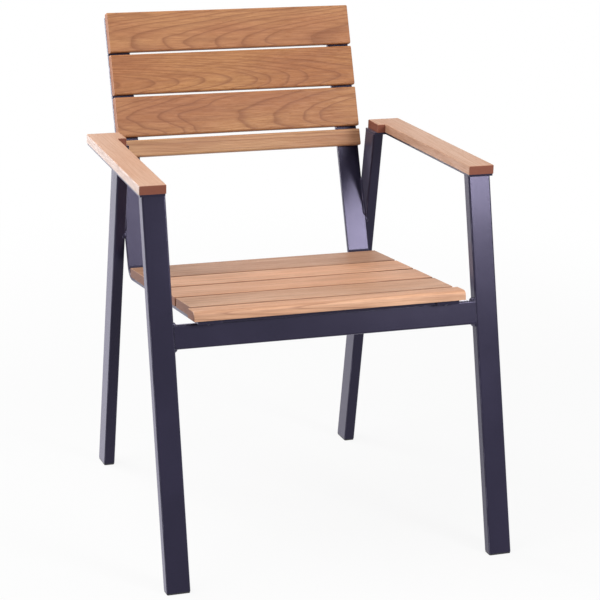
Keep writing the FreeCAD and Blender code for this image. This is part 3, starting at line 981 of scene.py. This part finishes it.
def loose_parts(node: str) -> Iterator[set[bmesh.types.BMVert]]:
    """Give the points of each separate solid of a CAD node, from a merged copy of its mesh.

    Args:
        node: The CAD node.

    Returns:
        The points of each solid in turn; the copy is freed after the last.
    """
    whole = bmesh.new()
    whole.from_mesh(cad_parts[node].data)
    bmesh.ops.remove_doubles(whole, verts=whole.verts, dist=1e-6)
    left = set(whole.verts)
    groups = []
    while left:
        group = set()
        todo = [next(iter(left))]
        while todo:
            vert = todo.pop()
            if vert in group:
                continue
            group.add(vert)
            todo.extend(edge.other_vert(vert) for edge in vert.link_edges)
        left -= group
        groups.append(group)
    yield from sorted(groups, key=middle)
    whole.free()


@dataclass(frozen=True)
class Heart:
    """Where a board lay in its tree: how far below and beside the heart line ran, and how it slanted."""

    below: float
    beside: float
    slant: float
    skew: float
    along: float


@dataclass(frozen=True)
class Slat:
    """One slat: its span up the row, its length, its heart line, its tone, and its nose if it has one."""

    span: Pair
    length: float
    heart: Heart
    tone: Triple
    nose_radius: float | None = None


@dataclass
class SlatRow:
    """A row of slats on the bent rails, counted as its CAD nodes are."""

    label: str
    slot: str
    finish: OiledWood
    tilt: float
    edge_radius: float
    slats: Sequence[Slat]
    thickness: float = 0.016
    end_radius: float = 0.0008
    corner: Triple = (0.0, 0.1608, 0.3916)

    def outward(self) -> Vector:
        """Return the direction away from the rails."""
        return Matrix.Rotation(math.radians(self.tilt), 3, "X") @ UP

    def place(self, span: Pair) -> Matrix:
        """Work out where the middle of a slat goes.

        Args:
            span: Where it starts and ends up the row.

        Returns:
            Its place, and how it lies.
        """
        turn = Matrix.Rotation(math.radians(self.tilt), 4, "X")
        centre = Matrix.Translation((0.0, sum(span) / 2, self.thickness / 2))
        return Matrix.Translation(self.corner) @ turn @ centre

    def build(self, form: EasedBoard) -> Iterator[Piece]:
        """Grow, place and dress the slats.

        Args:
            form: The board tree.

        Returns:
            Each slat in turn.
        """
        material = self.finish.material()
        for number, slat in enumerate(self.slats, start=1):
            low, high = slat.span
            heart = slat.heart
            values = {
                "Length": slat.length,
                "Width": high - low,
                "Thickness": self.thickness,
                "Edge Radius": self.edge_radius,
                "Nose Radius": slat.nose_radius or self.edge_radius,
                "End Radius": self.end_radius,
                "Heart Offset": (heart.along, -heart.beside, heart.below),
                "Heart Turn": (0.0, -heart.slant, heart.skew),
                "Tone": slat.tone,
                "Finish": material,
            }
            node = f"{self.label}_{number}"
            piece = form.lay(f"wood_{node}", values, self.place(slat.span))
            yield settle(piece, self.slot, node)


@dataclass
class ScrewSet:
    """One group of screws, whose places come from its CAD node."""

    node: str
    axis: Vector
    head_radius: float = 0.0045
    head_height: float = 0.0026
    socket_radius: float = 0.0016
    socket_depth: float = 0.0014
    shank_radius: float = 0.0025
    shank_length: float = 0.016
    sharp_angle: float = 35.0

    def seeds(self) -> bpy.types.Mesh:
        """Find where each head meets its shank.

        Returns:
            A point there for each screw, with the screw's axis on it.
        """
        axis = self.axis.normalized()
        side = Vector((1.0, 0.0, 0.0))
        other = axis.cross(side)
        points = []
        for group in loose_parts(self.node):
            levels = [vert.co.dot(axis) for vert in group]
            spot = axis * (min(levels) + self.head_height)
            for way in (side, other):
                reach = [vert.co.dot(way) for vert in group]
                spot += way * (min(reach) + max(reach)) / 2
            points.append(spot)
        mesh = bpy.data.meshes.new(f"{self.node}_places")
        mesh.from_pydata(points, [], [])
        kept = mesh.attributes.new("axis", "FLOAT_VECTOR", "POINT")
        kept.data.foreach_set("vector", [value for _ in points for value in axis])
        return mesh

    def build(self, form: SocketScrews, material: bpy.types.Material) -> Piece:
        """Grow and dress the screws.

        Args:
            form: The screw tree.
            material: Their finish.

        Returns:
            The group as one piece.
        """
        values = {
            "Head Radius": self.head_radius,
            "Head Height": self.head_height,
            "Socket Radius": self.socket_radius,
            "Socket Depth": self.socket_depth,
            "Shank Radius": self.shank_radius,
            "Shank Length": self.shank_length,
            "Finish": material,
        }
        piece = form.grow(f"steel_{self.node}", values, self.seeds())
        piece.data.set_sharp_from_angle(angle=math.radians(self.sharp_angle))
        return settle(piece, "screw_steel", self.node)


@dataclass
class Welds:
    """The weld beads, along the corner of each CAD fillet."""

    node: str = "weld_beads"
    leg_length: float = 0.005
    leg_slack: float = 2e-5
    square_slack: float = 1e-8
    bead_radius: float = 0.0062
    stand_off: float = -0.0015
    ripple_pitch: float = 0.0021
    ripple_depth: float = 0.035

    def corner(self, face: bmesh.types.BMFace) -> Vector | None:
        """Find the corner that a fillet fills, from one of its end faces.

        Args:
            face: A face of the fillet.

        Returns:
            A point beside the end face's right angle, by the stand-off, or None for other faces.
        """
        for loop in face.loops:
            here = loop.vert.co
            legs = [loop.link_loop_next.vert.co - here, loop.link_loop_prev.vert.co - here]
            right = abs(legs[0].dot(legs[1])) < self.square_slack
            if right and all(abs(leg.length - self.leg_length) < self.leg_slack for leg in legs):
                return here + sum((leg.normalized() for leg in legs), Vector()) * self.stand_off
        return None

    def build(self, form: WeldSeam, material: bpy.types.Material) -> Piece:
        """Grow and dress the beads.

        Args:
            form: The weld tree.
            material: Their finish.

        Returns:
            All beads as one piece.
        """
        points = []
        for group in loose_parts(self.node):
            faces = {face for vert in group for face in vert.link_faces}
            ends = [spot for face in faces if (spot := self.corner(face)) is not None]
            points.extend(sorted(ends, key=tuple))
        mesh = bpy.data.meshes.new("weld_lines")
        mesh.from_pydata(points, [(i, i + 1) for i in range(0, len(points), 2)], [])
        values = {
            "Bead Radius": self.bead_radius,
            "Ripple Pitch": self.ripple_pitch,
            "Ripple Depth": self.ripple_depth,
            "Finish": material,
        }
        return settle(form.grow("coated_weld_beads", values, mesh), "frame_coat", self.node)


@dataclass
class FootGlide:
    """A moulded foot in the open end of a leg: a rounded pad, hollow underneath, with a ribbed plug on it.

    The profile gives each outline's inset from the pad's own and its height above the floor.
    """

    node: str
    centre: Pair
    width: float
    depth: float
    lean: float
    pad_height: float = 0.003
    corner_radius: float = 0.0026
    least_radius: float = 0.0005
    corner_steps: int = 6
    sharp_angle: float = 50.0
    profile: Sequence[Pair] = (
        (0.0046, 0.0008),
        (0.0038, 0.0),
        (0.0008, 0.0),
        (0.0002, 0.0003),
        (0.0, 0.0009),
        (0.0, 0.0025),
        (0.0003, 0.003),
        (0.0021, 0.003),
        (0.0021, 0.0066),
        (0.0017, 0.0072),
        (0.0021, 0.0078),
        (0.0021, 0.0116),
        (0.0017, 0.0122),
        (0.0021, 0.0128),
        (0.0021, 0.0176),
        (0.0032, 0.019),
    )

    def ring(self, inset: float, height: float) -> Iterator[Triple]:
        """Draw one outline of the foot.

        Args:
            inset: How far the outline lies inside the pad's own.
            height: Its height above the floor.

        Returns:
            Each point in turn, counter-clockwise from above.
        """
        radius = max(self.corner_radius - inset, self.least_radius)
        reach = (self.width / 2 - inset - radius, self.depth / 2 - inset - radius)
        lean = self.lean * max(height - self.pad_height, 0.0)
        for quarter, signs in enumerate(((1, 1), (-1, 1), (-1, -1), (1, -1))):
            for step in range(self.corner_steps + 1):
                turn = math.radians(90.0) * (quarter + step / self.corner_steps)
                x = self.centre[0] + signs[0] * reach[0] + radius * math.cos(turn)
                y = self.centre[1] + signs[1] * reach[1] + radius * math.sin(turn) + lean
                yield (x, y, height)

    def build(self, material: bpy.types.Material) -> Piece:
        """Build and dress the foot.

        Args:
            material: Its finish.

        Returns:
            The piece.
        """
        points = [point for inset, height in self.profile for point in self.ring(inset, height)]
        count = len(points) // len(self.profile)
        faces = [tuple(reversed(range(count)))]
        for low in range(0, len(points) - count, count):
            for number in range(count):
                after = (number + 1) % count
                faces.append((low + number, low + after, low + count + after, low + count + number))
        faces.append(tuple(range(len(points) - count, len(points))))
        mesh = bpy.data.meshes.new(f"plastic_{self.node}")
        mesh.from_pydata(points, [], faces)
        mesh.shade_smooth()
        mesh.set_sharp_from_angle(angle=math.radians(self.sharp_angle))
        mesh.materials.append(material)
        return settle(add_object(mesh.name, mesh), "glide_plastic", self.node)


@dataclass
class CoatedFrame:
    """The tubes, bent rails, plates and cross bar, which keep their CAD shapes."""

    nodes: Sequence[str] = (
        "front_leg_left",
        "front_leg_right",
        "rear_leg_left",
        "rear_leg_right",
        "front_stretcher",
        "seat_back_rail_left",
        "seat_back_rail_right",
        "seat_cross_bar",
        "arm_plate_left",
        "arm_plate_right",
    )

    def dress(self, material: bpy.types.Material) -> Iterator[Piece]:
        """Give each node the coat and return it in turn."""
        for node in self.nodes:
            yield dressed(node, material)


@dataclass(frozen=True)
class StudioLamp:
    """One square, soft lamp of the studio."""

    name: str
    place: Triple
    power: float
    size: float
    aim: Triple = (0.0, 0.0, 0.45)

    def light(self) -> Piece:
        """Make the lamp.

        Returns:
            The lamp, which the camera doesn't see.
        """
        data = bpy.data.lights.new(self.name, "AREA")
        data.energy = self.power
        data.shape = "SQUARE"
        data.size = self.size
        lamp = add_object(self.name, data)
        lamp.location = self.place
        lamp.rotation_euler = (Vector(self.aim) - Vector(self.place)).to_track_quat("-Z", "Y").to_euler()
        lamp.visible_camera = False
        return lamp


@dataclass
class Studio:
    """Pale floor, soft lamps and a white surround."""

    floor_reach: float = 14.0
    floor_colour: Colour = (0.6, 0.6, 0.6)
    near_share: float = 0.9
    fade: Pair = (0.75, 2.2)
    sky: float = 0.34
    lamps: Sequence[StudioLamp] = (
        StudioLamp("key_panel", (-1.3, 0.2, 2.9), power=67.0, size=2.0),
        StudioLamp("edge_panel", (-1.9, 2.6, 0.6), power=105.0, size=1.2),
        StudioLamp("fill_panel", (1.15, -2.1, 1.36), power=36.0, size=0.64),
        StudioLamp("post_panel", (0.52, -2.1, 1.76), power=5.5, size=0.4),
    )

    def white_rays(self, graph: NodeGraph) -> Socket:
        """Tell the rays that see the background: camera, glossy and transmission rays.

        Args:
            graph: The nodes of the floor or the world.

        Returns:
            1 for those rays, and 0 for the rest.
        """
        path = graph.node("ShaderNodeLightPath").outputs
        first = graph.math("MAXIMUM", path["Is Camera Ray"], path["Is Glossy Ray"])
        return graph.math("MAXIMUM", first, path["Is Transmission Ray"])

    def lay_floor(self) -> Piece:
        """Make the floor: shadows show near the chair, plain white further out, clear from below.

        Returns:
            The floor.
        """
        mesh = bpy.data.meshes.new("studio_floor")
        reach = self.floor_reach
        corners = [(-reach, -reach, 0.0), (reach, -reach, 0.0), (reach, reach, 0.0), (-reach, reach, 0.0)]
        mesh.from_pydata(corners, [], [(0, 1, 2, 3)])
        floor = add_object("studio_floor", mesh)
        graph = SurfaceGraph("studio_floor")
        graph.tree.nodes.remove(graph.shader)
        matt = graph.node("ShaderNodeBsdfDiffuse", self.floor_colour)
        glow = graph.node("ShaderNodeEmission", WHITE, 1.0)
        away = graph.vector("LENGTH", graph.place())
        share = graph.between(away, self.fade, (self.near_share, 1.0))
        share = graph.times(share, self.white_rays(graph))
        top = graph.node("ShaderNodeMixShader", share, matt, glow)
        below = graph.node("ShaderNodeNewGeometry").outputs["Backfacing"]
        clear = graph.node("ShaderNodeBsdfTransparent")
        graph.feed(graph.output.inputs["Surface"], graph.node("ShaderNodeMixShader", below, top, clear))
        mesh.materials.append(graph.material)
        return floor

    def surround(self) -> None:
        """Make the world: white where it is seen, softer where it lights."""
        world = bpy.data.worlds.new("studio")
        world.use_nodes = True
        bpy.context.scene.world = world
        graph = NodeGraph(world.node_tree)
        strength = graph.math("MULTIPLY_ADD", self.white_rays(graph), 1.0 - self.sky, self.sky)
        graph.node("ShaderNodeOutputWorld", graph.node("ShaderNodeBackground", WHITE, strength))


@dataclass(frozen=True)
class PhotoCamera:
    """The camera at the photograph's angle."""

    place: Triple = (-1.26810, -3.49296, 1.49691)
    yaw: float = -20.45
    pitch: float = -16.79
    roll: float = -1.57
    focal_pixels: float = 2235.72
    image_pixels: float = 600.0
    sensor: float = 36.0

    def matrix(self) -> Matrix:
        """Work out the camera's place and axes.

        Returns:
            The camera's matrix.
        """
        yaw, pitch, roll = (math.radians(angle) for angle in (self.yaw, self.pitch, self.roll))
        level = math.cos(pitch)
        ahead = Vector((-math.sin(yaw) * level, math.cos(yaw) * level, math.sin(pitch)))
        right = Vector((math.cos(yaw), math.sin(yaw), 0.0))
        down = ahead.cross(right)
        turned_right = math.cos(roll) * right + math.sin(roll) * down
        turned_down = -math.sin(roll) * right + math.cos(roll) * down
        axes = Matrix((turned_right, -turned_down, -ahead)).transposed()
        return Matrix.Translation(self.place) @ axes.to_4x4()

    def shoot(self) -> Piece:
        """Make the camera the scene's own.

        Returns:
            The camera.
        """
        data = bpy.data.cameras.new("photo_camera")
        data.sensor_width = self.sensor
        data.lens = self.focal_pixels * self.sensor / self.image_pixels
        camera = add_object("photo_camera", data)
        camera.matrix_world = self.matrix()
        bpy.context.scene.camera = camera
        return camera


BACK_WOOD = OiledWood(
    "oiled_back_wood",
    pale=srgb(206, 148, 98),
    warm=srgb(190, 126, 84),
    dark=srgb(134, 78, 48),
    end=srgb(150, 92, 60),
    ring_share=0.6,
    band_share=0.36,
)
SEAT_WOOD = OiledWood(
    "oiled_seat_wood",
    pale=srgb(224, 175, 141),
    warm=srgb(210, 156, 120),
    dark=srgb(146, 98, 72),
    end=srgb(112, 66, 48),
    ring_share=0.62,
    band_share=0.46,
    streak_share=0.42,
    warp=0.004,
)
ARM_WOOD = OiledWood(
    "oiled_arm_wood",
    pale=srgb(204, 168, 144),
    warm=srgb(196, 153, 126),
    dark=srgb(156, 108, 82),
    end=srgb(122, 67, 51),
    ring_share=0.25,
    band_share=0.15,
    warp=0.004,
    source=GrainSource.OBJECT,
)

# From the rear slat to the front one, whose upper front edge is rounded.
SEAT_ROW = SlatRow(
    "seat_slat",
    "seat_wood",
    SEAT_WOOD,
    tilt=SEAT_TILT,
    edge_radius=0.001,
    slats=(
        Slat((-0.1145, -0.017), 0.462, Heart(0.045, 0.16, 0.012, 0.010, 1.3), (0.7, 0.72, 0.75)),
        Slat((-0.199, -0.122), 0.462, Heart(0.060, -0.13, 0.016, -0.008, 2.9), (1.0, 1.0, 1.0)),
        Slat((-0.2835, -0.2065), 0.462, Heart(0.030, 0.19, 0.010, 0.012, 4.1), (1.0, 1.02, 1.04)),
        Slat((-0.368, -0.291), 0.462, Heart(0.050, -0.17, 0.014, 0.006, 5.7), (0.85, 0.91, 0.96)),
        Slat((-0.411, -0.3755), 0.474, Heart(0.040, 0.12, 0.020, -0.012, 7.2), (1.0, 1.03, 1.06), 0.008),
    ),
)

# From the top slat to the bottom one.
BACK_ROW = SlatRow(
    "back_slat",
    "back_wood",
    BACK_WOOD,
    tilt=BACK_TILT,
    edge_radius=0.0035,
    slats=(
        Slat((0.3948, 0.4662), 0.456, Heart(0.085, -0.026, -0.060, 0.0, 11.4), (0.82, 0.83, 0.82)),
        Slat((0.3189, 0.3903), 0.456, Heart(0.027, -0.017, 0.075, 0.0, 13.8), (0.79, 0.77, 0.67)),
        Slat((0.243, 0.3144), 0.456, Heart(0.120, -0.009, -0.055, 0.0, 16.1), (0.79, 0.8, 0.8)),
        Slat((0.207, 0.237), 0.456, Heart(0.045, -0.150, 0.012, 0.004, 18.6), (0.94, 1.15, 1.4)),
    ),
)


def foot_glides() -> Iterator[FootGlide]:
    """List the feet, as they stand under the legs.

    Returns:
        The foot of each leg in turn.
    """
    for side, sign in (("left", -1.0), ("right", 1.0)):
        front = (sign * 0.284, -0.32407)
        yield FootGlide(f"foot_glide_front_{side}", front, width=0.039, depth=0.01966, lean=0.2586)
        rear = (sign * 0.238, 0.27381)
        yield FootGlide(f"foot_glide_rear_{side}", rear, width=0.019, depth=0.03942, lean=-0.1459)


def main() -> None:
    """Build the chair's looks, the studio and the camera, and report each piece."""
    logging.basicConfig(level=logging.INFO, format="%(name)s: %(message)s")
    bpy.context.scene.view_settings.view_transform = "Standard"
    coat = PowderCoat().material()
    steel = PlatedSteel().material()
    pieces = list(CoatedFrame().dress(coat))
    board = EasedBoard()
    pieces.extend(SEAT_ROW.build(board))
    pieces.extend(BACK_ROW.build(board))
    arm_wood = ARM_WOOD.material()
    pieces.extend(dressed(f"armrest_{side}", arm_wood) for side in ("left", "right"))
    plastic = MouldedPlastic().material()
    pieces.extend(glide.build(plastic) for glide in foot_glides())
    screws = SocketScrews()
    pieces.append(ScrewSet("seat_slat_screws", SEAT_ROW.outward()).build(screws, steel))
    pieces.append(ScrewSet("back_slat_screws", BACK_ROW.outward()).build(screws, steel))
    pieces.append(ScrewSet("armrest_screws", UP).build(screws, steel))
    pieces.append(Welds().build(WeldSeam(), coat))
    studio = Studio()
    studio.lay_floor()
    studio.surround()
    lamps = [lamp.light() for lamp in studio.lamps]
    PhotoCamera().shoot()
    for piece in pieces:
        LOG.info("%s: %d faces", piece.name, len(piece.data.polygons))
    LOG.info("%d pieces, %d lamps", len(pieces), len(lamps))


if __name__ == "__main__":
    main()
